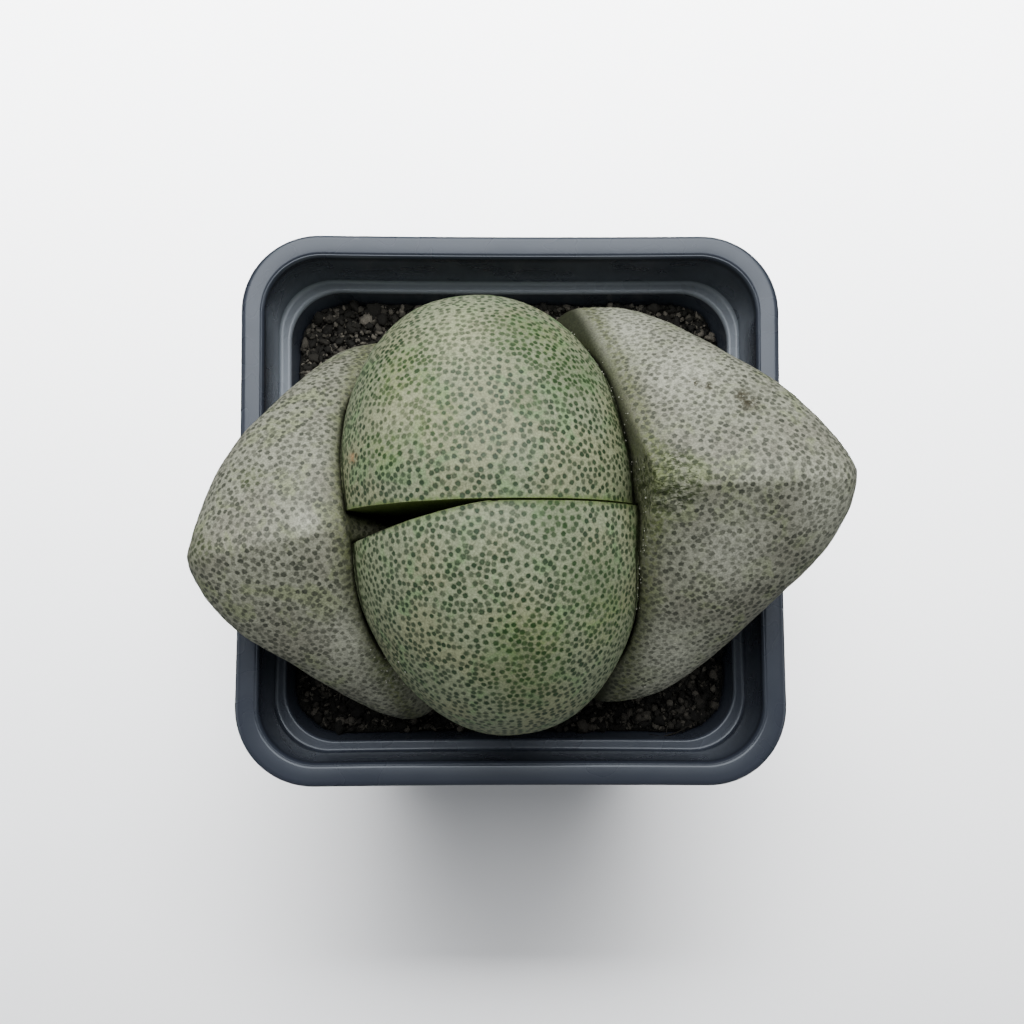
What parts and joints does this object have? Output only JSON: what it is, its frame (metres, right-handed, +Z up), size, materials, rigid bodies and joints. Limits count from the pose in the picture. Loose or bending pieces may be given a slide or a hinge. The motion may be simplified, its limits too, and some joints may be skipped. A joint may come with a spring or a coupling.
{
  "type": "potted split rock plant (mesemb)",
  "caption": "Potted split rock succulent: an old grey leaf pair opened wide round a young spotted green pair, in dark gritty soil in a small square plastic pot",
  "frame": {"origin": "Under the middle of the pot, at the level of the surface it stands on: the bottom centre of the whole object's box", "axes": "+Z up; +X along the line of the two old leaves, to the right in the picture; +Y towards the top of the picture, across the young pair"},
  "size_m": [0.0768, 0.0702, 0.0879],
  "materials": {
    "pot_plastic": "satin blue-grey moulded plastic with fine scuffs on the rim",
    "soil_grit": "dry dark potting grit and crumbs",
    "root_bark": "dry fibrous skin",
    "old_leaf_skin": "dull grey waxy skin with low-contrast dots",
    "young_leaf_skin": "pale green waxy skin with dark green dots"
  },
  "bodies": {
    "root": {"pot": "pot_plastic", "soil": "soil_grit", "rootstock": "root_bark", "outer_leaf_left": "old_leaf_skin", "outer_leaf_right": "old_leaf_skin", "inner_leaf_back": "young_leaf_skin", "inner_leaf_front": "young_leaf_skin"}
  },
  "joints": []
}
